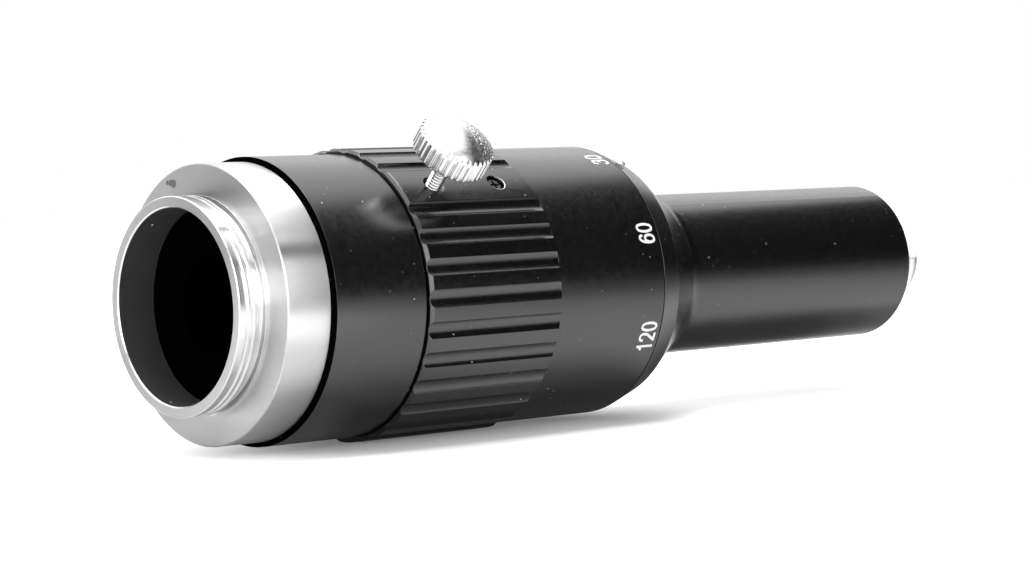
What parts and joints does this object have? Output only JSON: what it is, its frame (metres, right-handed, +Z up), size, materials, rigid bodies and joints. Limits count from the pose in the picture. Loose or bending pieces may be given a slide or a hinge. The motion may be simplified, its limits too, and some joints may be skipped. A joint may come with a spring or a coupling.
{
  "type": "machine vision lens",
  "caption": "Long slim fixed focal lens with a threaded camera mount, fluted focus ring with a thumb screw lock, setting scale, tapered front tube and glass dome.",
  "frame": {"origin": "centre of the flange face that seats on the camera", "axes": "+X along the optical axis from the camera towards the object, +Z up"},
  "size_m": [0.126, 0.0377, 0.0387],
  "materials": {
    "bright_mount": "satin plated",
    "black_anodised": "smooth black anodised",
    "matt_black": "matt black",
    "bronze": "machined",
    "steel": "turned",
    "polished_plate": "polished plate",
    "nylon": "moulded",
    "coated_glass": "polished, coated"
  },
  "bodies": {
    "housing": {"mount_ring": "bright_mount", "rear_baffle": "matt_black", "rear_housing": "black_anodised", "core_barrel": "black_anodised", "rear_cell": "black_anodised", "rear_lens": "coated_glass", "rear_spacer": "matt_black", "inner_lens": "coated_glass", "rear_retainer": "matt_black", "rear_glide_washer": "bronze", "front_glide_washer": "bronze", "ring_retainer": "matt_black", "guide_key": "bronze", "key_screws": "steel"},
    "focus_ring": {"grip_ring": "black_anodised", "helicoid_ring": "bronze", "scale_ring": "black_anodised", "ring_screw": "steel"},
    "lock_follower": {"lock_pellet": "nylon"},
    "lock_screw": {"thumb_screw": "polished_plate"},
    "front_group": {"front_barrel": "black_anodised", "index_pin": "steel", "aperture_stop": "matt_black", "stop_spacer": "matt_black", "flint_element": "coated_glass", "crown_element": "coated_glass", "relay_spacer": "matt_black", "meniscus_element": "coated_glass", "front_spacer": "matt_black", "dome_lens": "coated_glass", "front_retainer": "matt_black"}
  },
  "joints": [
    {"name": "focus_turn", "type": "hinge", "parent": "housing", "child": "focus_ring", "pos_m": [0, 0, 0], "axis": [1, 0, 0], "range_deg": [-87, 0]},
    {"name": "focus_travel", "type": "slide", "parent": "housing", "child": "front_group", "axis": [1, 0, 0], "range_m": [0, 0.0029]},
    {"name": "lock_travel", "type": "slide", "parent": "focus_ring", "child": "lock_follower", "axis": [0, 0.682, -0.7314], "range_m": [0, 0.00075]},
    {"name": "lock_turn", "type": "hinge", "parent": "lock_follower", "child": "lock_screw", "pos_m": [0.02525, -0.01364, 0.01463], "axis": [0, 0.682, -0.7314], "range_deg": [0, 675]}
  ],
  "couplings": [
    {"joint": "focus_travel", "follows": "focus_turn", "m_per_rad": -0.0019098},
    {"joint": "lock_turn", "follows": "lock_travel", "rad_per_m": 15708}
  ]
}
